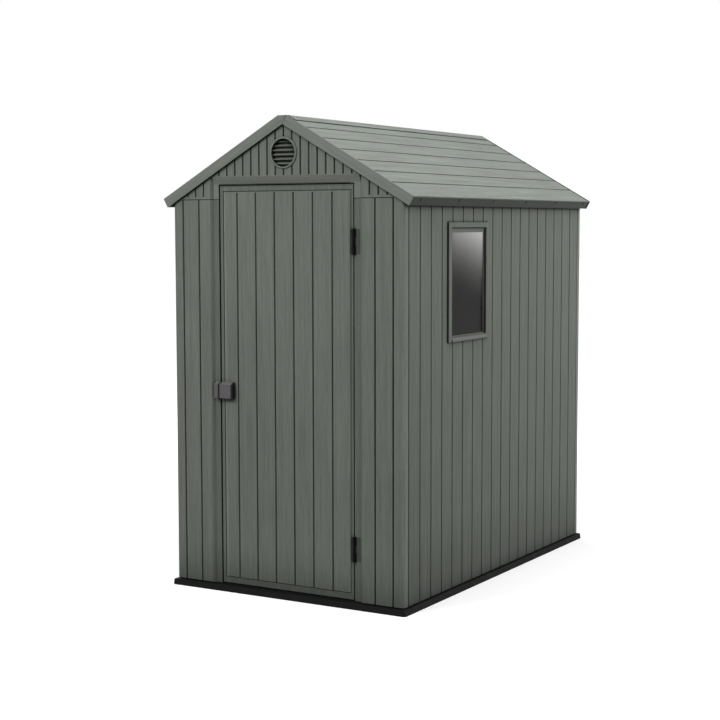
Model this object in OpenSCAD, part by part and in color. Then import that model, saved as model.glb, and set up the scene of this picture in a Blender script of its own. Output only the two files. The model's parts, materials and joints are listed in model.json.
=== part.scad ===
// Plastic garden shed: moulded wall panels on a dark floor tray, gabled roof, one hinged door.
// Millimetres, +Z up, front (door side) towards -Y, ground at z = 0, middle of the roof plan on the Z axis.

/* [Roof] */
// Length of the roof from front bargeboard to back bargeboard
roof_len = 1845; // [1700:5:2000]
// Half the width of the roof over the eaves
roof_half = 622; // [600:1:700]
// Height of the flat top of the ridge
ridge_z = 2050; // [1950:5:2200]
// Half the width of that flat top
ridge_flat = 21; // [10:1:30]
// Slope of the roof in degrees
roof_pitch = 29.6; // [26:0.1:33]
// Thickness of a roof panel
roof_t = 24; // [18:1:30]
// Height of the bargeboards and fascias, square to the slope
trim_h = 42; // [38:1:50]
// Thickness of the bargeboards
barge_t = 10.5; // [8:0.5:14]
// Spacing of the grooves between the roof boards
roof_board = 93.7; // [80:0.1:96]
// Distance of the lowest roof groove from the eave
roof_first = 117; // [100:1:120]
// Length of each leg of the ridge cap along the slope
cap_leg = 70; // [50:1:80]
// How far the ridge cap stands out of the roof
cap_out = 2.5; // [1.5:0.5:4]
// Height of the beam under the ridge
beam_h = 50; // [40:1:60]
// Width of that beam
beam_w = 30; // [24:1:40]

/* [Floor and walls] */
// Height of the floor tray, where the walls stand
floor_h = 31; // [29:1:40]
// Height of the tray's rim outside the walls
rim_h = 25; // [18:1:26]
// How far the walls overhang the tray's curb above that rim
rim_slot = 8; // [4:1:9]
// How far the foot of the tray's rim reaches beyond the side walls
rim_side = 15; // [10:1:20]
// How far the foot of the tray's rim reaches beyond the end walls
rim_end = 18; // [12:1:24]
// How far the top of that rim is drawn in from its foot
rim_flare = 6; // [3:1:9]
// Overhang of the roof beyond the side walls
eave_out = 46; // [35:1:60]
// Thickness of a wall panel
wall_t = 20; // [16:1:24]
// Radius of the moulded outer corners
corner_r = 12; // [6:1:15]
// Width of the corner boards on the side walls
corner_side = 39; // [34:1:44]
// Width of the corner boards on the end walls
corner_end = 51; // [46:1:60]
// Width of the front wall boards beside the corner boards
front_board = 85; // [70:1:95]
// Boards in each side wall panel
side_boards = 9; // [7:1:10]
// Boards in each back wall panel
back_boards = 6; // [5:1:7]
// Spacing of the grooves in the gables
gable_board = 41.45; // [38:0.05:43]
// Width of a moulded groove
groove_w = 8; // [5:0.5:10]
// Depth of a moulded groove
groove_d = 6; // [3:0.5:8]

/* [Doorway and door] */
// Distance of the hinge side of the doorway from the middle
doorway_half = 337.5; // [310:0.5:350]
// Distance of the header beam's ends below the top edge of the gable
header_drop = 19.4; // [16:0.1:40]
// Height of the header beam over the doorway
header_h = 33; // [25:1:38]
// Height over which the header beam slopes out to the gable's face
header_slope = 30; // [10:1:32]
// Width of the recessed jamb on each side of the doorway
jamb_w = 41.5; // [34:0.5:44]
// Depth of that recess
recess_d = 10; // [6:1:12]
// Width of the bevel at the recess
recess_bevel = 12; // [4:1:14]
// Running gap at the door leaf's hinge side, top and bottom
door_gap = 5; // [5:0.5:8]
// Running gap at the leaf's latch side
latch_gap = 8; // [6:0.5:10]
// Height of the shadow line at the seam between wall panels and gable
seam_gap = 3; // [2:0.5:4]
// Thickness of the threshold strip let into the tray
threshold_h = 3; // [2:0.5:5]
// Thickness of the leaf behind its border face
leaf_t = 32; // [25:1:35]
// Width of the border beside the plank field at the latch side
border_latch = 22.5; // [18:0.5:30]
// Width of the border beside the plank field at the hinge side
border_hinge = 14; // [12:0.5:20]
// Height of the border above and below the plank field
border_end = 30; // [20:1:35]
// How far the plank field stands out of the border
plank_out = 5; // [3:0.5:8]
// Width of the bevel round the plank field
plank_bevel = 5; // [2:0.5:8]
// Distance of the plank field's first groove from its latch side
plank_first = 68; // [50:1:80]
// Boards in the plank field between its first and last groove
plank_boards = 5; // [4:1:5]
// Spacing of the grooves between those boards
plank_board = 95.1; // [70:0.1:98]
// Width and depth of the fine line round the foot of the plank field
plank_line = 3; // [1:0.5:4]

/* [Hinges and latch] */
// Outer radius of a hinge barrel
barrel_r = 6.5; // [5:0.5:6.5]
// Radius of the hinge pins
pin_r = 3; // [2.5:0.1:3.5]
// Radial clearance of a pin in the leaf's barrel
pin_fit = 0.08; // [0.02:0.01:0.1]
// Length of a whole hinge barrel
barrel_len = 105; // [80:1:120]
// Width of the wing that holds a barrel
wing_w = 11; // [9:1:14]
// Distance of the middle of each hinge from that end of the leaf
hinge_in = 214; // [150:1:260]
// How much higher the upper hinge's end distance is
hinge_more = 21; // [0:1:60]
// Height of the underside of the latch
latch_z = 847; // [800:1:950]
// Height of the latch's flat front
latch_h = 61; // [50:1:75]
// Rise of the latch's sloping top from front to back
latch_slope = 10; // [4:1:20]
// How far the latch stands out of the wall face
latch_out = 15; // [10:1:17]
// Width of the keeper on the jamb
keeper_w = 20; // [14:1:26]
// Distance of the grip's cover from the edge of the leaf
grip_in = 4; // [0:0.5:6]
// Width of that cover
grip_w = 58; // [50:1:60]
// Width of the dark grip beside that cover
grip_side = 9; // [4:1:12]

/* [Window] */
// Distance of the window's middle in front of the shed's middle
window_y = 342.5; // [330:0.5:350]
// Half the width of the window surround
window_half = 192.5; // [180:0.5:200]
// Height of the window surround
window_h = 509; // [450:1:560]
// Distance of the surround's top below the top of the side walls
window_drop = 102; // [80:1:120]
// Width of the surround's face beside the glass
surround_w = 27.5; // [20:0.5:30]
// Height of the surround's face above the glass
surround_top = 21; // [16:1:28]
// Height of the surround's face below the glass
surround_low = 20; // [16:1:26]
// How far the surround stands out of the wall
surround_out = 8; // [4:1:10]
// Width of the sash bars beside the glass
sash_w = 10; // [8:1:14]
// Height of the sash bar over the glass
sash_top = 20; // [14:1:26]
// Thickness of the glazing
glass_t = 4; // [3:0.5:5]

/* [Vent] */
// Outer radius of the round vent
vent_r = 67; // [60:1:70]
// Width of the vent's ring
vent_ring_w = 8.5; // [7:0.5:12]
// How far the ring stands out of the gable
vent_out = 5; // [4:0.5:11]
// Distance of the vent's middle below the top of the gable
vent_drop = 139; // [136:1:150]
// Blades in the vent
vent_blades = 6; // [5:1:8]

/* [Hidden] */
$fn = 48;
over = 1;
seat = 0.2;
// Step to which heights shared by two parts are rounded, so that they meet face to face
fine = 0.1;
// Roof: the two slopes would meet at apex_z; their undersides meet at under_z
tan_p = tan(roof_pitch);
cos_p = cos(roof_pitch);
sin_p = sin(roof_pitch);
apex_z = ridge_z + ridge_flat * tan_p;
under_z = apex_z - roof_t / cos_p;
gable_top = under_z - seat / cos_p;
eave_z = apex_z - roof_half * tan_p;
lip_t = 5;
lip_w = 9;
bed_z = ridge_z - 3;
bed_half = (apex_z - bed_z) / tan_p;
roof_grooves = 6;
shadow_up = 3;
shadow_w = 6;
shadow_d = 12;
// Walls
wall_half = roof_half - eave_out;
wall_len = roof_len - 2 * barge_t;
wall_y = wall_len / 2;
wall_in = wall_y - wall_t;
side_board = (wall_y - corner_side) / side_boards;
corner_x = wall_half - corner_end;
wall_top = gable_top - wall_half * tan_p;
rim_r = 12;
seam_drop = 3;
seam_z = round((wall_top - seam_drop) / fine) * fine;
seam_d = 5;
butt_gap = 1.5;
curb_x = wall_half - rim_slot;
curb_y = wall_y - rim_slot;
// Doorway
recess_half = doorway_half + jamb_w;
recess_y = wall_y - recess_d;
header_half = recess_half - recess_bevel;
header_top = round((gable_top - recess_half * tan_p - header_drop) / fine) * fine;
doorway_top = header_top - header_h;
leaf_half = doorway_half - door_gap;
latch_half = leaf_half + latch_gap;
leaf_bottom = floor_h + door_gap;
leaf_top = doorway_top - door_gap;
leaf_back = recess_y - leaf_t;
plank_x0 = border_latch - leaf_half;
plank_x1 = leaf_half - border_hinge;
plank_z0 = leaf_bottom + border_end;
plank_z1 = leaf_top - border_end;
plank_y = recess_y + plank_out;
stop_t = 14;
stop_w = 15;
stop_in = 6;
stop_y = leaf_back - stop_in;
// Gable grooves: all of them, those clear above the header, and the first one beside it
gable_foot = 4;
groove_foot = 12;
gable_n = floor(corner_x / gable_board);
over_header = floor((recess_half - groove_w) / gable_board);
past_header = ceil((recess_half + groove_w) / gable_board);
// Hinges and latch
hinge_x = doorway_half - door_gap / 2;
hinge_y = recess_y + barrel_r;
hinge_lo = leaf_bottom + hinge_in;
hinge_hi = leaf_top - hinge_in - hinge_more;
wing_t = 3;
knuckle = (barrel_len - 1) / 3;
latch_y = wall_y + latch_out;
latch_top = latch_z + latch_h + latch_slope;
latch_edge = 2;
// Window
window_z1 = wall_top - window_drop;
window_z0 = window_z1 - window_h;
hole_half = window_half - surround_w;
hole_z0 = window_z0 + surround_low;
hole_z1 = window_z1 - surround_top;
sleeve_t = 3;
sash_x = wall_half - 1;
sash_t = 12;
sash_low = 6;
glass_x = sash_x - 4;
glass_half = hole_half - sash_w;
glass_z0 = hole_z0 + sash_low;
glass_z1 = hole_z1 - sash_top;
sill_out = 5;
sill_h = 14;
// Vent
vent_z = under_z - vent_drop;
vent_in = vent_r - vent_ring_w;
vent_hole = vent_in + 4;
blade_pitch = 2 * vent_in / (vent_blades + 0.3);
blade_w = 19;
blade_t = 2.5;
blade_in = 8;
blade_up = 5;
blade_tilt = 48;
green = [0.37, 0.39, 0.36];
green_light = [0.52, 0.55, 0.51];
green_dark = [0.25, 0.27, 0.25];
latch_grey = [0.38, 0.36, 0.38];
black = [0.06, 0.06, 0.06];

// Point of the right-hand roof slope: u up the slope from the eave, d square below its face
function on_slope(u, d) = [roof_half - u * cos_p - d * sin_p, eave_z + u * sin_p - d * cos_p];

// A moulded V groove across a face along X
module notch_x() {
  polygon([[-groove_w / 2, 0], [0, -groove_d], [groove_w / 2, 0], [0, groove_d]]);
}

// A moulded V groove across a face along Y
module notch_y() {
  polygon([[0, -groove_w / 2], [-groove_d, 0], [0, groove_w / 2], [groove_d, 0]]);
}

// Stands a front elevation up as a slab from y = -y1 to y = -y0
module upright(y0, y1) {
  translate([0, -y0, 0]) rotate([90, 0, 0]) linear_extrude(y1 - y0) children();
}

// Everything above the underside of the right-hand roof slope
module above_roof() {
  upright(-roof_len, roof_len)
    polygon([[0, gable_top], [roof_half, gable_top - roof_half * tan_p], [roof_half, apex_z], [0, apex_z]]);
}

// Plan of the right-hand front corner board
module corner_outline() {
  difference() {
    union() {
      translate([wall_half - wall_t, -wall_y]) square([wall_t, corner_side]);
      translate([corner_x, -wall_y]) square([corner_end, wall_t]);
    }
    translate([wall_half - corner_r, -wall_y - over]) square([corner_r + over, corner_r + over]);
    translate([wall_half, corner_side - wall_y]) notch_y();
  }
  intersection() {
    translate([wall_half - corner_r, corner_r - wall_y]) circle(corner_r);
    translate([wall_half - corner_r, -wall_y]) square([corner_r, corner_r]);
  }
}

// Right-hand front corner board, up to the roof
module corner_board() {
  difference() {
    translate([0, 0, floor_h]) linear_extrude(ridge_z - floor_h) corner_outline();
    translate([corner_x, -wall_y, 0]) linear_extrude(seam_z) notch_x();
    above_roof();
    shadow_gap();
  }
}

// Narrow channel in a gable's face along the lower edge of the right-hand bargeboard
module shadow_gap() {
  upright(wall_y - shadow_d, wall_y + over)
    polygon([on_slope(0, trim_h - shadow_up), on_slope(0, trim_h - shadow_up + shadow_w),
      [0, apex_z - (trim_h - shadow_up + shadow_w) / cos_p], [0, apex_z - (trim_h - shadow_up) / cos_p]]);
}

// Shadow line across the front at the seam between wall panels and gable
module seam_slot() {
  translate([0, 0, seam_z - seam_gap / 2]) linear_extrude(seam_gap)
    polygon([[-corner_x, -wall_y - over], [corner_x, -wall_y - over], [corner_x, seam_d - wall_y],
      [recess_half, seam_d - wall_y], [header_half, seam_d - recess_y], [-header_half, seam_d - recess_y],
      [-recess_half, seam_d - wall_y], [-corner_x, seam_d - wall_y]]);
}

// Right-hand front panel: corner board, two boards, recessed jamb and door stop beside x = inner
module front_panel(inner) {
  corner_board();
  difference() {
    translate([0, 0, floor_h]) linear_extrude(seam_z - floor_h) difference() {
      polygon([[inner, -recess_y], [header_half, -recess_y], [recess_half, -wall_y],
        [corner_x, -wall_y], [corner_x, -wall_in], [inner + wall_t, -wall_in],
        [inner + wall_t, stop_t - stop_y], [inner - stop_w, stop_t - stop_y],
        [inner - stop_w, -stop_y], [inner, -stop_y]]);
      translate([corner_x, -wall_y]) notch_x();
      translate([corner_x - front_board, -wall_y]) notch_x();
    }
    seam_slot();
  }
}

// Right-hand back panel, drawn at the front and turned round by its node
module back_panel() {
  corner_board();
  translate([0, 0, floor_h]) linear_extrude(seam_z - floor_h) difference() {
    translate([0, -wall_y]) square([corner_x, wall_t]);
    for (k = [0:back_boards]) {
      translate([k * corner_x / back_boards, -wall_y]) notch_x();
    }
  }
}

// Gable outline above the seam, seen from the front
module gable_outline() {
  polygon([[-corner_x, seam_z], [corner_x, seam_z], [corner_x, gable_top - corner_x * tan_p],
    [0, gable_top], [-corner_x, gable_top - corner_x * tan_p]]);
}

// Vertical grooves of a gable above z0, about half as wide apart as those of the walls
module gable_grooves(z0, from, to) {
  for (k = [from:to]) {
    translate([k * gable_board, -wall_y, z0]) linear_extrude(ridge_z - z0) notch_x();
  }
}

// Gable slab with the shadow channels under both bargeboards
module gable_slab() {
  difference() {
    upright(wall_in, wall_y) gable_outline();
    shadow_gap();
    mirror([1, 0, 0]) shadow_gap();
  }
}

module front_gable() {
  color(green) difference() {
    gable_slab();
    translate([0, 0, seam_z - over]) linear_extrude(header_top - seam_z + over)
      polygon([[-recess_half, -wall_y - over], [-recess_half, -wall_y], [-header_half, -recess_y],
        [-header_half, over - wall_in], [header_half, over - wall_in], [header_half, -recess_y],
        [recess_half, -wall_y], [recess_half, -wall_y - over]]);
    translate([0, 0, vent_z]) rotate([90, 0, 0]) cylinder(h = roof_len, r = vent_hole);
    gable_grooves(header_top + gable_foot, -over_header, over_header);
    gable_grooves(seam_z + groove_foot, past_header, gable_n);
    gable_grooves(seam_z + groove_foot, -gable_n, -past_header);
    seam_slot();
  }
}

// Beam over the doorway with a short post down each side of it to the wall panels
module header_beam() {
  color(green_dark) {
    translate([-header_half, 0, 0]) rotate([90, 0, 90]) linear_extrude(2 * header_half)
      polygon([[-recess_y, doorway_top], [-wall_in, doorway_top], [-wall_in, header_top],
        [-wall_y, header_top], [-recess_y, header_top - header_slope]]);
    difference() {
      for (side = [[-header_half, -latch_half], [doorway_half, header_half]]) {
        translate([side[0], -recess_y, seam_z])
          cube([side[1] - side[0], recess_y - wall_in, doorway_top + over - seam_z]);
      }
      seam_slot();
    }
  }
}

module back_gable() {
  color(green) rotate([0, 0, 180]) difference() {
    gable_slab();
    gable_grooves(seam_z + groove_foot, -gable_n, gable_n);
  }
}

module front_right_panel() {
  color(green) front_panel(doorway_half);
}

module front_left_panel() {
  color(green) mirror([1, 0, 0]) front_panel(latch_half);
}

module back_right_panel() {
  color(green) mirror([0, 1, 0]) back_panel();
}

module back_left_panel() {
  color(green) rotate([0, 0, 180]) back_panel();
}

// Side wall panel on the right, from y0 for one panel length
module side_panel(y0) {
  difference() {
    translate([0, 0, floor_h]) linear_extrude(ridge_z - floor_h) difference() {
      translate([wall_half - wall_t, y0]) square([wall_t, side_boards * side_board]);
      for (k = [0:side_boards]) {
        translate([wall_half, y0 + k * side_board]) notch_y();
      }
    }
    above_roof();
  }
}

module right_wall_front() {
  color(green) difference() {
    side_panel(-side_boards * side_board);
    window_slab(0, roof_half, hole_half + sleeve_t, hole_z0 - sleeve_t, hole_z1 + sleeve_t);
  }
}

module right_wall_back() {
  color(green) side_panel(0);
}

module left_wall_front() {
  color(green) mirror([1, 0, 0]) side_panel(-side_boards * side_board);
}

module left_wall_back() {
  color(green) mirror([1, 0, 0]) side_panel(0);
}

// Upright rectangular block in the right wall's window, between two faces along X
module window_slab(x0, x1, half, z0, z1) {
  translate([x0, -window_y - half, z0]) cube([x1 - x0, 2 * half, z1 - z0]);
}

module window_frame() {
  color(green) difference() {
    union() {
      window_slab(wall_half, wall_half + surround_out, window_half, window_z0, window_z1);
      window_slab(wall_half - wall_t - sleeve_t, wall_half + over,
        hole_half + sleeve_t, hole_z0 - sleeve_t, hole_z1 + sleeve_t);
    }
    window_slab(0, roof_half, hole_half, hole_z0, hole_z1);
  }
}

module window_sash() {
  color(green_light) difference() {
    window_slab(sash_x - sash_t, sash_x, hole_half, hole_z0, hole_z1);
    window_slab(0, roof_half, glass_half, glass_z0, glass_z1);
  }
}

module window_glass() {
  color([0.3, 0.32, 0.34, 0.6]) window_slab(glass_x - glass_t, glass_x, glass_half, glass_z0, glass_z1);
}

// Sloping drip strip along the lower edge of the surround
module window_sill() {
  color(green_light) translate([wall_half + surround_out, hole_half - window_y, window_z0 + over])
    rotate([90, 0, 0]) linear_extrude(2 * hole_half)
      polygon([[0, 0], [sill_out, 0], [sill_out, sill_h / 2], [0, sill_h]]);
}

module vent_ring() {
  color(green) translate([0, -wall_y, vent_z]) rotate([90, 0, 0]) rotate_extrude()
    polygon([[vent_in, vent_out], [vent_r - 3, vent_out], [vent_r, vent_out - 3], [vent_r, 0],
      [vent_hole - seat, 0], [vent_hole - seat, 3 - wall_t], [vent_in, 3 - wall_t]]);
}

// Sloping blades whose outer edges lie lower than their inner edges
module vent_louvres() {
  color(green) intersection() {
    translate([0, -wall_in, vent_z]) rotate([90, 0, 0]) cylinder(h = wall_t, r = vent_in - seat);
    for (k = [0:vent_blades - 1]) {
      translate([0, blade_in - wall_y, vent_z + blade_up + (k - (vent_blades - 1) / 2) * blade_pitch])
        rotate([-blade_tilt, 0, 0]) cube([2 * vent_r, blade_t, blade_w], center = true);
    }
  }
}

// One half of the floor tray: a curb under the walls and a lower rim, flared at the foot, round it
module floor_half() {
  intersection() {
    upright(0, roof_len)
      polygon([[-wall_half - rim_side, 0], [wall_half + rim_side, 0],
        [wall_half + rim_side - rim_flare, rim_h], [curb_x, rim_h], [curb_x, floor_h],
        [-curb_x, floor_h], [-curb_x, rim_h], [rim_flare - wall_half - rim_side, rim_h]]);
    translate([-roof_half, 0, 0]) rotate([90, 0, 90]) linear_extrude(2 * roof_half)
      polygon([[-wall_y - rim_end, 0], [over, 0], [over, floor_h], [-curb_y, floor_h], [-curb_y, rim_h],
        [rim_flare - wall_y - rim_end, rim_h]]);
    linear_extrude(floor_h) floor_plan();
  }
}

// Strip under the door, let into the tray's curb
module threshold_strip() {
  translate([-latch_half, -curb_y, floor_h - threshold_h])
    cube([latch_half + doorway_half, curb_y - stop_y, threshold_h]);
}

// Plan of the tray with rounded corners
module floor_plan() {
  translate([-wall_half - rim_side, rim_r - wall_y - rim_end])
    square([2 * (wall_half + rim_side), roof_len]);
  translate([rim_r - wall_half - rim_side, -wall_y - rim_end])
    square([2 * (wall_half + rim_side - rim_r), roof_len]);
  for (s = [-1, 1]) {
    translate([s * (wall_half + rim_side - rim_r), rim_r - wall_y - rim_end]) circle(rim_r);
  }
}

module floor_front() {
  color(black) difference() {
    floor_half();
    threshold_strip();
  }
}

module floor_back() {
  color(black) rotate([0, 0, 180]) floor_half();
}

module threshold() {
  color(black) threshold_strip();
}

// Section of the right-hand roof panel: boards, grooves and a thin lip over the fascia
module roof_section() {
  difference() {
    polygon([[0, bed_z], [bed_half, bed_z], on_slope(0, 0), on_slope(0, lip_t), on_slope(lip_w, lip_t),
      on_slope(lip_w, roof_t), [0, under_z]]);
    for (k = [0:roof_grooves - 1]) {
      translate(on_slope(roof_first + k * roof_board, 0)) rotate(-roof_pitch) notch_x();
    }
  }
}

module roof_right() {
  color(green_light) upright(-wall_y, wall_y) roof_section();
}

module roof_left() {
  color(green_light) mirror([1, 0, 0]) upright(-wall_y, wall_y) roof_section();
}

module ridge_cap() {
  color(green_light) upright(-wall_y, wall_y) difference() {
    intersection() {
      polygon([[0, apex_z + cap_out / cos_p], [roof_half, eave_z + cap_out / cos_p],
        [-roof_half, eave_z + cap_out / cos_p]]);
      translate([-cap_leg * cos_p, 0]) square([2 * cap_leg * cos_p, ridge_z]);
    }
    polygon([[-roof_half, eave_z], [-bed_half, bed_z], [bed_half, bed_z], [roof_half, eave_z],
      [roof_half, 0], [-roof_half, 0]]);
  }
}

module ridge_beam() {
  color(black) upright(-wall_in, wall_in)
    polygon([[-beam_w / 2, under_z - beam_h], [beam_w / 2, under_z - beam_h],
      [beam_w / 2, gable_top - beam_w / 2 * tan_p], [0, gable_top],
      [-beam_w / 2, gable_top - beam_w / 2 * tan_p]]);
}

// Right-hand bargeboard in front view; its upper end butts square to the slope
module barge_right() {
  difference() {
    polygon([on_slope(0, 0), on_slope(0, trim_h), [0, apex_z - trim_h / cos_p],
      [0, ridge_z], [ridge_flat, ridge_z]]);
    translate([0, apex_z - trim_h / cos_p]) rotate(-roof_pitch)
      translate([butt_gap - roof_half, -over]) square([roof_half, roof_half]);
  }
}

// Left-hand bargeboard in front view, which runs on to meet the right-hand one
module barge_left() {
  difference() {
    polygon([[-roof_half, eave_z], [sin_p * trim_h - roof_half, eave_z - trim_h * cos_p],
      [0, apex_z - trim_h / cos_p], [roof_half, apex_z - trim_h / cos_p + roof_half / tan_p],
      [roof_half, ridge_z], [-ridge_flat, ridge_z]]);
    translate([-roof_half, ridge_z]) square([3 * roof_half, 3 * roof_half]);
  }
}

module bargeboard_front_right() {
  color(green) upright(wall_y, roof_len / 2) barge_right();
}

module bargeboard_front_left() {
  color(green) upright(wall_y, roof_len / 2) barge_left();
}

module bargeboard_back_right() {
  color(green) upright(-roof_len / 2, -wall_y) barge_right();
}

module bargeboard_back_left() {
  color(green) upright(-roof_len / 2, -wall_y) barge_left();
}

// Right-hand eave fascia, square to the slope under the roof lip
module fascia() {
  upright(-wall_y, wall_y) translate(on_slope(lip_w - seat, trim_h)) rotate(-roof_pitch)
    square([lip_w - seat - over, trim_h - lip_t - seat]);
}

module fascia_right() {
  color(green_dark) fascia();
}

module fascia_left() {
  color(green_dark) mirror([1, 0, 0]) fascia();
}

// Raised field of the door with bevelled edges, without its grooves
module plank_field() {
  intersection() {
    translate([0, 0, plank_z0 - plank_bevel]) linear_extrude(plank_z1 - plank_z0 + 2 * plank_bevel)
      polygon([[plank_x0 - plank_bevel, over - recess_y], [plank_x0 - plank_bevel, -recess_y],
        [plank_x0, -plank_y], [plank_x1, -plank_y], [plank_x1 + plank_bevel, -recess_y],
        [plank_x1 + plank_bevel, over - recess_y]]);
    translate([-roof_half, 0, 0]) rotate([90, 0, 90]) linear_extrude(2 * roof_half)
      polygon([[over - recess_y, plank_z0 - plank_bevel], [-recess_y, plank_z0 - plank_bevel],
        [-plank_y, plank_z0], [-plank_y, plank_z1], [-recess_y, plank_z1 + plank_bevel],
        [over - recess_y, plank_z1 + plank_bevel]]);
  }
}

// Block the size of the plank field grown by an amount, from d in front of the border's face back to -d
module field_block(grow, d) {
  translate([plank_x0 - grow, -recess_y - d, plank_z0 - grow])
    cube([plank_x1 - plank_x0 + 2 * grow, 2 * d, plank_z1 - plank_z0 + 2 * grow]);
}

module door_leaf() {
  color(green) {
    difference() {
      translate([-leaf_half, -recess_y, leaf_bottom]) cube([2 * leaf_half, leaf_t, leaf_top - leaf_bottom]);
      difference() {
        field_block(plank_bevel + plank_line, plank_line);
        field_block(plank_bevel, plank_line + over);
      }
    }
    difference() {
      plank_field();
      for (k = [0:plank_boards]) {
        translate([plank_x0 + plank_first + k * plank_board, -plank_y, plank_z0])
          linear_extrude(plank_z1 - plank_z0) notch_x();
      }
    }
  }
}

// One barrel of a hinge with its wing, which lies from x0 across the face of leaf or jamb
module knuckle_part(z0, x0) {
  translate([hinge_x, -hinge_y, z0]) cylinder(h = knuckle, r = barrel_r);
  translate([x0, -recess_y - wing_t, z0]) cube([wing_w, wing_t, knuckle]);
}

// Outer barrels and the pin of a hinge, fixed to the jamb
module hinge_frame(z) {
  knuckle_part(z - barrel_len / 2, hinge_x);
  knuckle_part(z + barrel_len / 2 - knuckle, hinge_x);
  translate([hinge_x, -hinge_y, z - barrel_len / 2 + over]) cylinder(h = barrel_len - 2 * over, r = pin_r);
}

// Middle barrel of a hinge, fixed to the leaf
module hinge_leaf(z) {
  difference() {
    knuckle_part(z - knuckle / 2, hinge_x - wing_w);
    translate([hinge_x, -hinge_y, z - knuckle]) cylinder(h = 2 * knuckle, r = pin_r + pin_fit);
  }
}

module hinge_upper_frame() {
  color(black) hinge_frame(hinge_hi);
}

module hinge_lower_frame() {
  color(black) hinge_frame(hinge_lo);
}

module hinge_upper_leaf() {
  color(black) hinge_leaf(hinge_hi);
}

module hinge_lower_leaf() {
  color(black) hinge_leaf(hinge_lo);
}

// Stretch of the latch from x0 for width w, with its front at y = -front and a sloping top
module latch_body(x0, w, front) {
  translate([x0, 0, 0]) rotate([90, 0, 90]) linear_extrude(w)
    polygon([[-recess_y, latch_z], [latch_edge - front, latch_z], [-front, latch_z + latch_edge],
      [-front, latch_z + latch_h], [-plank_y, latch_top], [-recess_y, latch_top]]);
}

// Fixed half of the latch on the left jamb
module latch_keeper() {
  color(latch_grey) latch_body(-leaf_half - door_gap - keeper_w, keeper_w, latch_y);
}

// Dark grip along the inner side of the latch on the leaf
module latch_base() {
  color(black) difference() {
    latch_body(grip_in + grip_w - leaf_half, grip_side, latch_y - over);
    plank_field();
  }
}

// Grey cover of the latch on the leaf
module latch_plate() {
  color(latch_grey) difference() {
    latch_body(grip_in - leaf_half, grip_w, latch_y);
    plank_field();
  }
}

floor_front();
floor_back();
threshold();
front_left_panel();
front_right_panel();
front_gable();
header_beam();
vent_ring();
vent_louvres();
left_wall_front();
left_wall_back();
right_wall_front();
right_wall_back();
back_left_panel();
back_right_panel();
back_gable();
window_frame();
window_sash();
window_glass();
window_sill();
roof_left();
roof_right();
ridge_cap();
ridge_beam();
bargeboard_front_left();
bargeboard_front_right();
bargeboard_back_left();
bargeboard_back_right();
fascia_left();
fascia_right();
hinge_upper_frame();
hinge_lower_frame();
latch_keeper();
door_leaf();
hinge_upper_leaf();
hinge_lower_leaf();
latch_base();
latch_plate();
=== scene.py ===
"""Looks of a plastic garden shed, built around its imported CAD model. Metres, +Z up, front towards -Y."""

import json
import math

import bmesh
import bpy
from mathutils import Matrix, Vector


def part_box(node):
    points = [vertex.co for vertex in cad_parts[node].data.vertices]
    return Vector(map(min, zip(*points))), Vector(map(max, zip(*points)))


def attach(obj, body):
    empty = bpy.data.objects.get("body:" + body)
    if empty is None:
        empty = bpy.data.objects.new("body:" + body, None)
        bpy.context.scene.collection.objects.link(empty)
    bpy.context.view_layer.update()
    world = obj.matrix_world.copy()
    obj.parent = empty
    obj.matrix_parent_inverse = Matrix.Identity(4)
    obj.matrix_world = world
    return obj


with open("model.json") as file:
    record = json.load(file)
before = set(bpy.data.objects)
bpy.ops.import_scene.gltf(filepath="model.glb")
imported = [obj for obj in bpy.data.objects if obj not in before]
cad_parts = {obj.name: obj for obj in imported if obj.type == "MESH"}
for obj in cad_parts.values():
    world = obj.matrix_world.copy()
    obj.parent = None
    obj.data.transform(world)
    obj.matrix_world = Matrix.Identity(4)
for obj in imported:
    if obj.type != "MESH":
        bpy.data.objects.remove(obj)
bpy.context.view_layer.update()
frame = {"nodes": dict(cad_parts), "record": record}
nodes = frame["nodes"]
record = frame["record"]


# ---------------------------------------------------------------- driving values


def linear(red, green, blue):
    """Scene colour of a screen colour, whose parts run from 0 to 255."""

    def one(value):
        value = value / 255
        return value / 12.92 if value <= 0.04045 else ((value + 0.055) / 1.055) ** 2.4

    return (one(red), one(green), one(blue))


WALL = linear(110, 115, 108)
TRIM = linear(117, 121, 115)
# the roof's colour is a lighter copy of the walls' plastic, painted light for faces turned up to the lamps
ROOF_LIT = linear(126, 132, 125)
SASH = linear(104, 107, 103)
SCREEN = linear(140, 146, 138)
LATCH = linear(93, 90, 92)
# dark sheets that stand in as painted shade on the jamb beside the hinges
JAMB_SHADE = linear(64, 69, 63)
# the fascia's colour is darkened as painted shade, for faces turned down and out
FASCIA_SHADED = linear(53, 58, 52)
# dark strips that stand in as painted shade along the window's edges
WINDOW_SHADE = linear(40, 43, 40)
DARK = linear(16, 17, 16)
BLACK = linear(11, 12, 11)
WHITE = (1.0, 1.0, 1.0)

# stretch of the grain, which runs along one axis
GRAIN_ALONG = {"x": (1.0, 30.0, 30.0), "y": (30.0, 1.0, 30.0), "z": (30.0, 30.0, 1.0)}
GRAIN_RELIEF = 0.0006
GRAIN_GLOSS = 0.56
GRAIN_LEVEL = 0.12
FINE_RELIEF = 0.0003

# how much paler the hinge's wing on the door is than its barrel; the wing carries painted shade that darkens
# towards the barrel
HINGE_SHADE_RAMP = 18.0

# how much paler the painted highlights on the rounded corners and on the door's edge are, and where the
# corners begin
CORNER_HIGHLIGHT = 0.62
CORNER_BAND = (0.548, 0.552)
EDGE_HIGHLIGHT = 0.30

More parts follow.
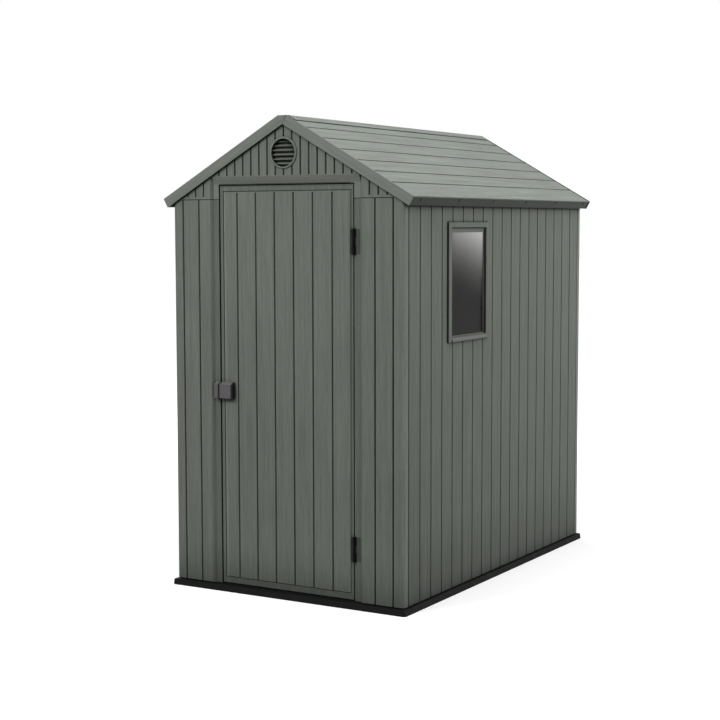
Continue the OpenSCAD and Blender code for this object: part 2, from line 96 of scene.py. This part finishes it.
# the pane and its painted reflection: how solid it is, the reflection's screen tones at the foot and the
# top, the share of its height that stays dark, the curve by which it brightens above that, and how much of
# the curve its height takes up
PANE_SOLID = 0.75
PANE_FOOT = 34.0
PANE_TOP = 218.0
PANE_TURN = 0.33
PANE_CURVE = 1.4
PANE_REACH = 0.926
PANE_STEPS = 8

# the roof's slope, and the height of its upper face at the outer edge
PITCH = math.radians(29.6)
EAVE_Z = 1.70856

# width of the door leaf's border beside the latch
LATCH_BORDER = 0.0225

CAMERA_AT = (3.5859, -6.3586, 1.5970)
CAMERA_AZIMUTH = math.radians(30.565)
CAMERA_DOWN = math.radians(5.007)
CAMERA_ROLL = math.radians(-0.100)
CAMERA_LENS = 77.45
SENSOR = 36.0

# name, place, size and power of each lamp; all of them point at the middle of the shed
LAMPS = (
    ("key", (-2.5, -6.0, 6.0), 3.0, 330.0),
    ("fill", (5.0, 2.6, 3.0), 2.0, 128.0),
    ("near", (3.5, -6.0, 5.0), 2.5, 100.0),
    ("top", (1.0, -1.0, 7.0), 3.0, 130.0),
    ("back", (-5.0, 4.5, 4.0), 3.0, 130.0),
)
LAMP_TARGET = Vector((0.0, 0.0, 1.0))
WORLD_LIGHT = 0.33


# ---------------------------------------------------------------- node helpers


class Graph:
    """The node tree of a material or of the world, with short calls to add and join nodes."""

    def __init__(self, owner, out_kind="ShaderNodeOutputMaterial"):
        owner.use_nodes = True
        self.owner = owner
        self.tree = owner.node_tree
        self.tree.nodes.clear()
        self.out = self.tree.nodes.new(out_kind)

    def add(self, kind, sockets=None, **settings):
        """A new node; sockets holds values by socket name, settings the node's own properties."""
        node = self.tree.nodes.new(kind)
        for name, value in settings.items():
            setattr(node, name, value)
        for name, value in (sockets or {}).items():
            node.inputs[name].default_value = value
        return node

    def join(self, source, target):
        self.tree.links.new(source, target)

    def where(self, output="Object"):
        """Object coordinates, or another output of a Texture Coordinate node."""
        return self.add("ShaderNodeTexCoord").outputs[output]

    def parts(self, vector):
        """The X, Y and Z sockets of a vector."""
        node = self.add("ShaderNodeSeparateXYZ")
        self.join(vector, node.inputs["Vector"])
        return node.outputs

    def mapped(self, vector, scale=(1.0, 1.0, 1.0), turn=0.0):
        """A vector stretched by scale, then turned about Y."""
        node = self.add("ShaderNodeMapping", {"Scale": scale, "Rotation": (0.0, turn, 0.0)})
        self.join(vector, node.inputs["Vector"])
        return node.outputs["Vector"]

    def math(self, operation, a, b=None):
        """Result of a Math node; a and b are numbers or sockets."""
        node = self.add("ShaderNodeMath", operation=operation)
        for socket, value in zip(node.inputs, (a, b)):
            if isinstance(value, (int, float)):
                socket.default_value = value
            elif value is not None:
                self.join(value, socket)
        return node.outputs[0]

    def times(self, product, *factors):
        """Product of numbers or sockets."""
        for factor in factors:
            product = self.math("MULTIPLY", product, factor)
        return product

    def noise(self, vector, scale, detail, roughness=0.55):
        node = self.add("ShaderNodeTexNoise", {"Scale": scale, "Detail": detail, "Roughness": roughness})
        self.join(vector, node.inputs["Vector"])
        return node.outputs["Fac"]

    def ranged(self, value, low, high, to_low, to_high):
        """A socket's values from low to high, brought to to_low and to_high."""
        limits = {"From Min": low, "From Max": high, "To Min": to_low, "To Max": to_high}
        node = self.add("ShaderNodeMapRange", limits)
        self.join(value, node.inputs["Value"])
        return node.outputs["Result"]

    def spread(self, noise, low, high):
        """The usual values of a noise, brought to low and high."""
        return self.ranged(noise, 0.3, 0.7, low, high)

    def hollow(self, reach, low, high, darkest):
        """Painted shade: a tone that falls from 1 to darkest as faces within reach close in."""
        node = self.add("ShaderNodeAmbientOcclusion", {"Distance": reach}, samples=8)
        return self.ranged(node.outputs["AO"], low, high, darkest, 1.0)

    def scaled(self, colour, factor):
        """A colour times a socket."""
        node = self.add("ShaderNodeVectorMath", operation="SCALE")
        node.inputs[0].default_value = colour
        self.join(factor, node.inputs["Scale"])
        return node.outputs["Vector"]

    def seen(self):
        """1 where the eye, a mirror or clear matter looks, and 0 for light that bounces."""
        path = self.add("ShaderNodeLightPath").outputs
        seen = self.math("MAXIMUM", path["Is Camera Ray"], path["Is Glossy Ray"])
        return self.math("MAXIMUM", seen, path["Is Transmission Ray"])

    def plastic(self, colour, tone, rough, level, height, strength, relief):
        """Ends the tree of a plastic: toned colour, roughness from rough, and a bump from height."""
        shader = self.add("ShaderNodeBsdfPrincipled", {"Specular IOR Level": level})
        bump = self.add("ShaderNodeBump", {"Strength": strength, "Distance": relief})
        self.join(height, bump.inputs["Height"])
        self.join(self.scaled(colour, tone), shader.inputs["Base Color"])
        self.join(rough, shader.inputs["Roughness"])
        self.join(bump.outputs["Normal"], shader.inputs["Normal"])
        self.join(shader.outputs["BSDF"], self.out.inputs["Surface"])
        return self.owner


# ---------------------------------------------------------------- materials


def painted_edge_highlight(g, across, edge):
    """Painted highlight: a paler tone just to the right of an upright edge at x = edge."""
    begins = g.ranged(across, edge - 0.001, edge, 0.0, 1.0)
    ends = g.ranged(across, edge + 0.004, edge + 0.012, EDGE_HIGHLIGHT, 0.0)
    return g.math("ADD", 1.0, g.times(begins, ends))


def painted_corner_highlight(g, across):
    """Painted highlight: a paler tone on the rounded upright corners and on the strips that they turn onto
    the side walls.
    """
    facing = g.parts(g.where("Normal"))
    turned = g.ranged(g.math("ABSOLUTE", facing["X"]), 0.2, 0.8, 0.0, CORNER_HIGHLIGHT)
    outside = g.ranged(g.math("ABSOLUTE", across), *CORNER_BAND, 0.0, 1.0)
    return g.math("ADD", 1.0, g.times(turned, outside))


def grained_plastic(name, colour, along="z", contrast=0.20, crease_shade=0.85, slope=0.0, reach=0.016, closed=0.33,
                    shade=None, ground=None, height_shading=None, edge_highlight=None, recess_shade=None, corners=False):
    """Moulded plastic with a fine brushed wood grain along one axis, and painted shade where faces meet in a
    groove.

    dirt is the strength of the painted shade in a groove, reach the size of the grooves that it finds, and
    closed how shut in a face is where that shade is darkest. slope turns the grain about Y. shade holds the
    reach and strength of the painted shade beside larger steps, and ground the height up to which painted
    shade darkens the wall towards its foot, and its tone at the foot. fade holds (low z, high z, tone at
    low, tone at high) of painted light and shade that leave the wall darker low down and lighter high up.
    rubbed is the x of an upright edge with a painted highlight on its right side, recess holds (y of the
    raised faces, y of the sunken ones, tone of the painted shade on the sunken ones), and corners puts a
    painted highlight on the upright corners.
    """
    g = Graph(bpy.data.materials.new(name))
    where = g.where()
    place = g.parts(where)
    vector = g.mapped(g.mapped(where, turn=slope), GRAIN_ALONG[along])
    coarse = g.noise(vector, 2.2, 5.0, 0.6)
    fine = g.noise(vector, 9.0, 6.0, 0.65)
    hair = g.noise(vector, 30.0, 2.0, 0.5)
    cloud = g.noise(where, 3.0, 2.0, 0.5)
    streaks = g.math("ADD", g.times(coarse, 0.35), g.times(fine, 0.40))
    streaks = g.math("ADD", streaks, g.times(hair, 0.25))
    tones = [
        g.ranged(streaks, 0.36, 0.64, 1.0 - contrast, 1.0 + contrast),
        g.spread(cloud, 0.965, 1.035),
        # painted shade in the grooves, where faces meet
        g.hollow(reach, closed, 0.82, 1.0 - crease_shade),
    ]
    # painted shade beside larger steps
    if shade:
        tones.append(g.hollow(shade[0], 0.50, 0.95, 1.0 - shade[1]))
    # painted shade, darker towards the foot of the wall
    if ground:
        tones.append(g.ranged(place["Z"], 0.03, ground[0], ground[1], 1.0))
    # painted light and shade, darker low on the wall and lighter high up
    if height_shading:
        tones.append(g.ranged(place["Z"], *height_shading))
    # painted highlight beside an upright edge of the door's planks
    if edge_highlight:
        tones.append(painted_edge_highlight(g, place["X"], edge_highlight))
    # painted shade on the sunken faces
    if recess_shade:
        tones.append(g.ranged(place["Y"], recess_shade[0], recess_shade[1], 1.0, recess_shade[2]))
    # painted highlight on the rounded upright corners
    if corners:
        tones.append(painted_corner_highlight(g, place["X"]))
    rough = g.spread(fine, GRAIN_GLOSS - 0.06, GRAIN_GLOSS + 0.10)
    return g.plastic(colour, g.times(*tones), rough, GRAIN_LEVEL, streaks, 0.6, GRAIN_RELIEF)


def plain_plastic(name, colour, gloss=0.5, contrast=0.08, level=0.4, hinge=None):
    """Moulded plastic with a fine even texture.

    level is the specular level, and hinge the x of the hinge pin, which divides barrel and wing; the wing
    carries painted shade that darkens towards the barrel.
    """
    g = Graph(bpy.data.materials.new(name))
    where = g.where()
    speck = g.noise(where, 480.0, 3.0, 0.6)
    patch = g.noise(where, 10.0, 4.0)
    tones = [
        g.spread(speck, 1.0 - contrast, 1.0 + contrast),
        g.spread(patch, 1.0 - contrast, 1.0 + contrast),
        # painted shade where faces close in
        g.hollow(0.010, 0.35, 0.95, 0.7),
    ]
    if hinge:
        aside = g.math("SUBTRACT", hinge, g.parts(where)["X"])
        # painted shade on the wing, darkest beside the barrel
        tones.append(g.ranged(aside, -0.001, 0.010, 1.0, HINGE_SHADE_RAMP))
    rough = g.spread(patch, gloss - 0.07, gloss + 0.09)
    return g.plastic(colour, g.times(*tones), rough, level, speck, 0.5, FINE_RELIEF)


def painted_pane_reflection(share):
    """Painted reflection: colour of the pane at a share of its height, made up for the part of it that is
    see-through.
    """
    rise = ((share - PANE_TURN) / (1.0 - PANE_TURN)) ** PANE_CURVE
    value = PANE_FOOT + (PANE_TOP - PANE_FOOT) * rise
    return (*(part / PANE_SOLID for part in linear(value, value, value - 1.0)), 1.0)


def glazing(name):
    """Plastic pane, a quarter see-through, with a painted reflection that is dark at the foot and bright at
    the top.
    """
    g = Graph(bpy.data.materials.new(name))
    low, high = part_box("window_glass")
    where = g.where()
    place = g.parts(where)
    height = g.ranged(place["Z"], low[2], high[2], 0.0, 1.0)
    # the painted reflection is brighter towards one side and carries a faint haze
    across = g.ranged(place["Y"], low[1], high[1], -0.10, 0.10)
    haze = g.noise(g.mapped(where, (1.0, 6.0, 3.0)), 1.5, 3.0, 0.5)
    level = g.math("ADD", g.math("ADD", height, across), g.spread(haze, -0.012, 0.012))
    ramp = g.add("ShaderNodeValToRGB")
    stops = ramp.color_ramp.elements
    stops[0].position = PANE_TURN
    stops[0].color = painted_pane_reflection(PANE_TURN)
    stops[-1].color = painted_pane_reflection(1.0)
    for k in range(1, PANE_STEPS):
        share = PANE_TURN + (1.0 - PANE_TURN) * k / PANE_STEPS
        stops.new(share).color = painted_pane_reflection(share)
    g.join(g.times(level, PANE_REACH), ramp.inputs["Fac"])
    finish = {"Roughness": 0.25, "Specular IOR Level": 0.05, "Alpha": PANE_SOLID}
    shader = g.add("ShaderNodeBsdfPrincipled", finish)
    g.join(ramp.outputs["Color"], shader.inputs["Base Color"])
    g.join(shader.outputs["BSDF"], g.out.inputs["Surface"])
    return g.owner


def make_materials():
    """Every material of the shed by name; the slots of the record are among the names."""
    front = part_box("front_left_panel")[0][1]
    latch_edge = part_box("door_leaf")[0][0] + LATCH_BORDER
    pin = record["behaviour"]["joints"][0]["pos_m"][0]
    # reach and strength of the painted shade beside larger steps
    broad_shade = (0.25, 0.52)
    grained = {
        "wall_plastic": dict(colour=WALL, contrast=0.26, crease_shade=0.95, reach=0.019, closed=0.45,
                             shade=(0.12, 0.62), ground=(0.33, 0.63), height_shading=(0.4, 1.5, 0.94, 1.10)),
        "front_plastic": dict(colour=WALL, contrast=0.24, shade=broad_shade, corners=True,
                              recess_shade=(front + 0.0005, front + 0.0095, 0.82)),
        "back_plastic": dict(colour=WALL, shade=broad_shade, corners=True),
        "door_plastic": dict(colour=WALL, contrast=0.24, crease_shade=0.75, shade=broad_shade, edge_highlight=latch_edge,
                             recess_shade=(front + 0.0055, front + 0.0095, 0.87)),
        "bead_plastic": dict(colour=WALL, contrast=0.10, crease_shade=0.0),
        "roof_plastic": dict(colour=ROOF_LIT, along="y", contrast=0.34, crease_shade=0.97, reach=0.024, closed=0.60),
        "trim_plastic": dict(colour=TRIM, along="x", contrast=0.18),
        "barge_left_plastic": dict(colour=TRIM, along="x", contrast=0.22, slope=PITCH),
        "barge_right_plastic": dict(colour=TRIM, along="x", contrast=0.22, slope=-PITCH),
        "fascia_plastic": dict(colour=FASCIA_SHADED, along="y", contrast=0.22, crease_shade=0.97),
    }
    plain = {
        "sash_plastic": dict(colour=SASH, level=0.2),
        "floor_plastic": dict(colour=DARK, gloss=0.7, contrast=0.12, level=0.1),
        "beam_steel": dict(colour=BLACK, gloss=0.45),
        "hinge_plastic": dict(colour=BLACK, gloss=0.75, level=0.1, hinge=pin),
        "latch_plastic": dict(colour=LATCH, gloss=0.55, level=0.2),
        "screen_plastic": dict(colour=SCREEN, gloss=0.7, contrast=0.2, level=0.2),
        "jamb_shade_plastic": dict(colour=JAMB_SHADE, gloss=0.7, level=0.2),
        "window_shade_plastic": dict(colour=WINDOW_SHADE, gloss=0.7, level=0.2),
        "black_plastic": dict(colour=BLACK, gloss=0.6, level=0.2),
    }
    made = {name: grained_plastic(name, **values) for name, values in grained.items()}
    made.update((name, plain_plastic(name, **values)) for name, values in plain.items())
    made["window_pane"] = glazing("window_pane")
    return made


def material_name(node, slot):
    """A node has the material of its slot, apart from those whose grain or painted shade and highlights are
    their own.
    """
    if node == "door_leaf":
        return "door_plastic"
    if node == "latch_base":
        return "black_plastic"
    if node.startswith("bargeboard"):
        return "barge_left_plastic" if node.endswith("left") else "barge_right_plastic"
    for start in ("front", "back", "fascia"):
        if node.startswith(start):
            return f"{start}_plastic"
    return slot


def dress_nodes(materials):
    """Gives every CAD node its material."""
    for row in record["subparts"]:
        mesh = nodes[row["node"]].data
        mesh.materials.clear()
        mesh.materials.append(materials[material_name(row["node"], row["material_slot"])])


# ---------------------------------------------------------------- shapes of small pieces


def new_piece(name, work, material, body):
    """Makes a piece of the scene from a bmesh and sets it on a body."""
    bmesh.ops.recalc_face_normals(work, faces=work.faces)
    mesh = bpy.data.meshes.new(name)
    work.to_mesh(mesh)
    work.free()
    mesh.materials.append(material)
    piece = bpy.data.objects.new(name, mesh)
    bpy.context.scene.collection.objects.link(piece)
    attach(piece, body)


def skin(work, rings):
    """Joins each ring of vertices to the next, and closes both ends."""
    for lower, upper in zip(rings, rings[1:]):
        for k in range(len(lower)):
            n = (k + 1) % len(lower)
            work.faces.new((lower[k], lower[n], upper[n], upper[k]))
    work.faces.new(rings[-1])
    work.faces.new(tuple(reversed(rings[0])))


def lathe(profile, at, axis, segments=20):
    """A turned form: profile holds (radius, height) pairs along axis from the point at."""
    work = bmesh.new()
    turn = Vector(axis).to_track_quat("Z", "Y").to_matrix()
    rings = []
    for radius, height in profile:
        ring = []
        for k in range(segments):
            angle = 2 * math.pi * k / segments
            point = Vector((radius * math.cos(angle), radius * math.sin(angle), height))
            ring.append(work.verts.new(Vector(at) + turn @ point))
        rings.append(ring)
    skin(work, rings)
    for face in work.faces:
        face.smooth = len(face.verts) == 4
    return work


def ring_along_x(inner, outer, x0, x1, open_foot=False):
    """Rectangular ring in a YZ plane between x0 and x1; inner and outer are (y0, z0, y1, z1)."""
    work = bmesh.new()
    rows = []
    for y0, z0, y1, z1 in (inner, outer):
        corners = ((y0, z0), (y0, z1), (y1, z1), (y1, z0))
        for x in (x0, x1):
            rows.append([work.verts.new((x, y, z)) for y, z in corners])
    inner_back, inner_front, outer_back, outer_front = rows
    for k in range(3 if open_foot else 4):
        n = (k + 1) % 4
        work.faces.new((outer_front[k], outer_front[n], inner_front[n], inner_front[k]))
        work.faces.new((outer_back[k], inner_back[k], inner_back[n], outer_back[n]))
        work.faces.new((inner_front[k], inner_front[n], inner_back[n], inner_back[k]))
        work.faces.new((outer_front[k], outer_back[k], outer_back[n], outer_front[n]))
    if open_foot:
        for k in (0, 3):
            work.faces.new((outer_front[k], inner_front[k], inner_back[k], outer_back[k]))
    return work


def slope_bar(s0, s1, n0, n1, y0, y1, side):
    """Bar along one roof slope: s runs down the slope from the ridge line, n up from the roof's face."""
    work = bmesh.new()
    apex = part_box("roof_right")[1][0] * math.tan(PITCH) + EAVE_Z
    bevel = min(s1 - s0, n1 - n0) * 0.2
    profile = [(s0, n0), (s1, n0), (s1, n1 - bevel), (s1 - bevel, n1), (s0 + bevel, n1), (s0, n1 - bevel)]
    rings = []
    for y in (y0, y1):
        ring = []
        for s, n in profile:
            x = s * math.cos(PITCH) + n * math.sin(PITCH)
            z = apex - s * math.sin(PITCH) + n * math.cos(PITCH)
            ring.append(work.verts.new((side * x, y, z)))
        rings.append(ring)
    skin(work, rings)
    return work


def flat_bar(x0, x1, z0, z1, back, front, cut):
    """Flat bar on a face that looks towards -Y, with its front edges bevelled by cut."""
    work = bmesh.new()
    rings = []
    for y, inset in ((back, 0.0), (front + cut, 0.0), (front, cut)):
        left, right, foot, top = x0 + inset, x1 - inset, z0 + inset, z1 - inset
        corners = ((left, foot), (right, foot), (right, top), (left, top))
        rings.append([work.verts.new((x, y, z)) for x, z in corners])
    skin(work, rings)
    return work


# ---------------------------------------------------------------- small pieces


def window_shade_strips(painted_shade):
    """Dark strips round the window frame and, on three sides, inside it against the sash, which stand in as
    painted shade along these edges.
    """
    low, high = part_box("window_frame")
    sash_low, sash_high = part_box("window_sash")
    wall_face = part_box("right_wall_front")[1][0]
    gap, bead, lip = 0.0004, 0.0018, 0.0035
    proud, sunk = 0.0022, 0.0015
    outer = (low[1] - bead, low[2] - bead, high[1] + bead, high[2] + bead)
    inner = (low[1] - gap, low[2] - gap, high[1] + gap, high[2] + gap)
    ring = ring_along_x(inner, outer, wall_face + gap, wall_face + proud)
    new_piece("window_outer_shade_strip", ring, painted_shade, "shell")
    outer = (sash_low[1] + gap, sash_low[2] + gap, sash_high[1] - gap, sash_high[2] - gap)
    inner = (outer[0] + lip, outer[1], outer[2] - lip, outer[3] - lip)
    ring = ring_along_x(inner, outer, sash_high[0] + gap, high[0] - sunk, open_foot=True)
    new_piece("window_inner_shade_strip", ring, painted_shade, "shell")


def fascia_screws(black):
    """Small dark screw caps under the roof lip along both eaves."""
    low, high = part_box("fascia_right")
    count, first, step = 6, 0.085, 0.338
    # first counts from the front of the bargeboard, which stands this far ahead of the fascia
    board = 0.0105
    # the fascia's face starts at its outer edge, a little under its top, and runs down square to the slope
    edge, drop = 0.004, 0.0095
    normal = Vector((math.cos(PITCH), 0.0, -math.sin(PITCH)))
    down = Vector((-math.sin(PITCH), 0.0, -math.cos(PITCH)))
    radius, sunk, rim, top = 0.0080, 0.001, 0.0006, 0.0014
    profile = [(radius, -sunk), (radius, rim), (radius * 0.8, top), (radius * 0.3, top)]
    for side, label in ((1, "right"), (-1, "left")):
        for k in range(count):
            start = Vector((high[0], low[1] - board + first + k * step, high[2] - edge))
            point = start + down * drop
            cap = lathe(profile, (side * point.x, point.y, point.z), (side * normal.x, 0.0, normal.z))
            new_piece(f"fascia_screw_{label}_{k + 1}", cap, black, "shell")


def roof_edges(black):
    """Dark strips beside the ridge cap and along the rear roof edges, which stand in as painted shade there,
    and caps on the rear trim's ends.
    """
    roof_low, roof_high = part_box("roof_right")
    trim_low, trim_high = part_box("bargeboard_back_right")
    cap_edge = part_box("ridge_cap")[1][0]
    eave = roof_high[0] / math.cos(PITCH)
    # heights over the roof's face, distances from its edges, and widths of the strips
    gap, thin, thick = 0.0002, 0.0014, 0.0018
    inset, eave_inset = 0.0003, 0.002
    shade_width, ridge_width = 0.0082, 0.0036
    shade_front = roof_high[1] - inset - shade_width
    top = (cap_edge + 0.003) / math.cos(PITCH)
    beside = cap_edge / math.cos(PITCH) + inset
    # the caps close the ends of the rear trim, under the roof's face
    cap_near, cap_far = 0.0001, 0.0011
    cap_foot, cap_top = -0.0405, -0.0035
    for side, label in ((1, "right"), (-1, "left")):
        bars = {
            "rear_shade_strip": slope_bar(top, eave - eave_inset, gap, thick, shade_front, roof_high[1] - inset,
                                   side),
            "ridge_shade_strip": slope_bar(beside, beside + ridge_width, gap, thin, roof_low[1] + inset,
                                    shade_front - inset, side),
            "rear_trim_cap": slope_bar(eave + cap_near, eave + cap_far, cap_foot, cap_top,
                                       trim_low[1] + 0.0004, trim_high[1] - 0.0006, side),
        }
        for name, bar in bars.items():
            new_piece(f"{name}_{label}", bar, black, "shell")


def hinge_shade_sheets(shading_sheet):
    """Thin dark sheets on the jamb beside each hinge, which stand in as painted shade."""
    jamb_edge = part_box("header_beam")[1][0]
    gap, margin, inset = 0.0003, 0.003, 0.002
    sunk, proud, cut = 0.0002, 0.0012, 0.0006
    for which in ("upper", "lower"):
        low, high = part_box(f"hinge_{which}_frame")
        bar = flat_bar(high[0] + gap, jamb_edge - margin, low[2] + inset, high[2] - inset,
                       high[1] - sunk, high[1] - proud, cut)
        new_piece(f"hinge_shade_sheet_{which}", bar, shading_sheet, "shell")


def door_beads(plastic):
    """Beads that fill the fine line round the planks beside the hinges and along the foot."""
    low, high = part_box("door_leaf")
    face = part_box("hinge_upper_leaf")[1][1]
    # the fine line's width, and the leaf's borders beside the hinges and at its ends
    line, border, border_end = 0.003, 0.014, 0.030
    gap, bevel, cut = 0.0003, 0.005, 0.0003
    back = face + line - gap
    x0 = low[0] + LATCH_BORDER - bevel
    x1 = high[0] - border + bevel + line - gap
    z0 = low[2] + border_end - bevel - line + gap
    z1 = high[2] - border_end + bevel
    bar = flat_bar(x1 - line + 2 * gap, x1, z0, z1, back, face, cut)
    new_piece("door_bead_side", bar, plastic, "door")
    bar = flat_bar(x0, x1 - line + gap, z0, z0 + line - 2 * gap, back, face, cut)
    new_piece("door_bead_foot", bar, plastic, "door")


def header_shade_strip(black):
    """Dark strip along the lower edge of the beam over the door, which stands in as painted shade in the gap
    below it and ends short of the hinge side.
    """
    low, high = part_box("door_leaf")
    beam_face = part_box("header_beam")[0][1]
    running_gap, margin, width, short = 0.005, 0.0002, 0.0024, 0.006
    sunk, proud, cut = 0.0002, 0.0008, 0.0003
    foot = high[2] + running_gap + margin
    bar = flat_bar(low[0], high[0] - short, foot, foot + width, beam_face - sunk, beam_face - proud, cut)
    new_piece("header_shade_strip", bar, black, "shell")


def vent_screen(plastic):
    """Round insect screen with a raised rim, fixed behind the gable vent."""
    wall_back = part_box("front_gable")[1][1]
    low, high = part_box("vent_louvres")
    middle = (low[2] + high[2]) / 2
    overlap, gap = 0.010, 0.0004
    radius = (high[2] - low[2]) / 2 + overlap
    # height and width of the rim, its bevelled edge, and the thickness of the sheet inside it
    rim, rim_width = 0.0040, 0.0060
    edge, edge_drop = 0.0015, 0.0010
    sheet, hub = 0.0022, 0.004
    profile = [(radius, 0.0), (radius, rim - edge_drop), (radius - edge, rim), (radius - rim_width, rim),
               (radius - rim_width - edge, sheet), (hub, sheet)]
    disc = lathe(profile, (0.0, wall_back + gap, middle), (0, 1, 0), 48)
    new_piece("vent_screen", disc, plastic, "shell")


# ---------------------------------------------------------------- camera, floor and light


def make_camera():
    """The camera stands in front, to the right, and looks a little down."""
    data = bpy.data.cameras.new("camera")
    data.sensor_width = SENSOR
    data.sensor_fit = "HORIZONTAL"
    data.lens = CAMERA_LENS
    data.clip_end = 100.0
    camera = bpy.data.objects.new("camera", data)
    across = -math.sin(CAMERA_AZIMUTH) * math.cos(CAMERA_DOWN)
    ahead = math.cos(CAMERA_AZIMUTH) * math.cos(CAMERA_DOWN)
    look = Vector((across, ahead, -math.sin(CAMERA_DOWN)))
    turn = look.to_track_quat("-Z", "Y").to_matrix().to_4x4()
    roll = Matrix.Rotation(CAMERA_ROLL, 4, "Z")
    camera.matrix_world = Matrix.Translation(CAMERA_AT) @ turn @ roll
    bpy.context.scene.collection.objects.link(camera)
    bpy.context.scene.camera = camera


def floor_paper():
    """Pale paper that keeps the shadow; it is seen near white but throws little light back."""
    g = Graph(bpy.data.materials.new("floor_paper"))
    where = g.where()
    seen = g.seen()
    speck = g.noise(where, 40.0, 3.0)
    matt = g.add("ShaderNodeBsdfDiffuse")
    pale = g.times(g.ranged(seen, 0.0, 1.0, 0.10, 0.80), g.spread(speck, 0.99, 1.01))
    g.join(g.scaled(WHITE, pale), matt.inputs["Color"])
    # the lamps reach less far out, so the paper glows more there
    away = g.add("ShaderNodeVectorMath", operation="LENGTH")
    g.join(where, away.inputs[0])
    glow = g.add("ShaderNodeEmission")
    g.join(g.times(seen, g.ranged(away.outputs["Value"], 1.2, 6.0, 0.40, 0.85)), glow.inputs["Strength"])
    both = g.add("ShaderNodeAddShader")
    g.join(matt.outputs["BSDF"], both.inputs[0])
    g.join(glow.outputs["Emission"], both.inputs[1])
    g.join(both.outputs["Shader"], g.out.inputs["Surface"])
    return g.owner


def make_floor():
    """A plain pale floor."""
    half = 60.0
    corners = [(-half, -half, 0), (half, -half, 0), (half, half, 0), (-half, half, 0)]
    mesh = bpy.data.meshes.new("floor")
    mesh.from_pydata(corners, [], [(0, 1, 2, 3)])
    mesh.materials.append(floor_paper())
    floor = bpy.data.objects.new("floor", mesh)
    bpy.context.scene.collection.objects.link(floor)


def make_world():
    """White where it is seen, and otherwise a soft even light."""
    world = bpy.data.worlds.new("studio")
    bpy.context.scene.world = world
    g = Graph(world, "ShaderNodeOutputWorld")
    soft = g.add("ShaderNodeBackground", {"Color": (*WHITE, 1.0), "Strength": WORLD_LIGHT})
    back = g.add("ShaderNodeBackground", {"Color": (*WHITE, 1.0), "Strength": 1.0})
    mix = g.add("ShaderNodeMixShader")
    g.join(g.seen(), mix.inputs["Fac"])
    g.join(soft.outputs["Background"], mix.inputs[1])
    g.join(back.outputs["Background"], mix.inputs[2])
    g.join(mix.outputs["Shader"], g.out.inputs["Surface"])


def make_lamps():
    """Soft studio light from round lamps."""
    for name, at, size, power in LAMPS:
        data = bpy.data.lights.new(name, "AREA")
        data.shape = "DISK"
        data.size = size
        data.energy = power
        lamp = bpy.data.objects.new(name, data)
        turn = (LAMP_TARGET - Vector(at)).to_track_quat("-Z", "Y").to_matrix().to_4x4()
        lamp.matrix_world = Matrix.Translation(at) @ turn
        bpy.context.scene.collection.objects.link(lamp)


make_camera()
materials = make_materials()
dress_nodes(materials)
window_shade_strips(materials["window_shade_plastic"])
fascia_screws(materials["black_plastic"])
roof_edges(materials["black_plastic"])
vent_screen(materials["screen_plastic"])
hinge_shade_sheets(materials["jamb_shade_plastic"])
door_beads(materials["bead_plastic"])
header_shade_strip(materials["black_plastic"])
make_floor()
make_world()
make_lamps()

bpy.context.scene.view_settings.view_transform = "Standard"


def plain(box):
    return [[round(float(value), 6) for value in corner] for corner in box]
